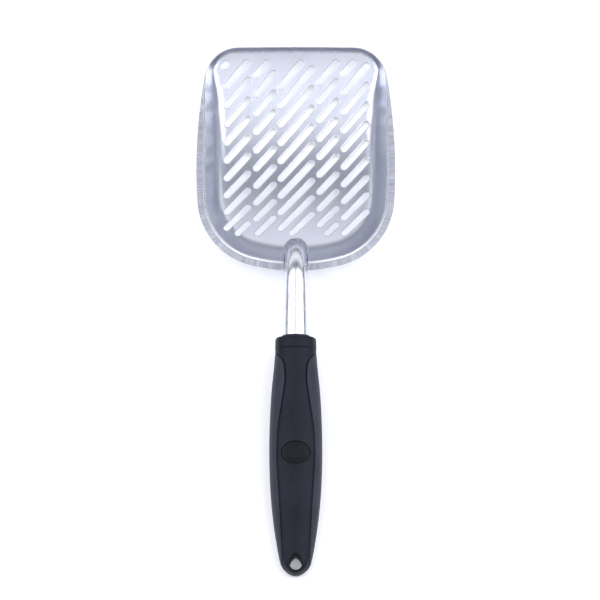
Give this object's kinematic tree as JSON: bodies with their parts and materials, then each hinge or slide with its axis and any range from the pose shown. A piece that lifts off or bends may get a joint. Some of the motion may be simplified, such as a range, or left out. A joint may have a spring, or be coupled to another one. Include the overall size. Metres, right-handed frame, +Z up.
{
  "type": "sifting hand scoop",
  "caption": "Cast aluminium sifting hand scoop: concave pan with leaning slots, bent neck and a two-material grip with a hang hole.",
  "frame": {"origin": "middle of the object's box, on the plane that the pan's heel and the handle's tail rest on", "axes": "+Y along the scoop to the pan's leading edge, +Z up out of the pan, X across"},
  "size_m": [0.1286, 0.3566, 0.0372],
  "materials": {
    "cast_aluminium": "satin, brushed inside, ground across the rim",
    "neck_aluminium": "fine satin polish",
    "steel_pin": "plain",
    "hard_plastic": "fine matte grain, charcoal",
    "soft_grip": "soft matte, charcoal"
  },
  "bodies": {
    "root": {"scoop_pan": "cast_aluminium", "weld_bead": "cast_aluminium", "neck_rod": "neck_aluminium", "collar_ring": "soft_grip", "handle_core": "hard_plastic", "grip_left": "soft_grip", "grip_right": "soft_grip", "thumb_pad": "hard_plastic", "tang_pin_upper": "steel_pin", "tang_pin_lower": "steel_pin"}
  },
  "joints": []
}
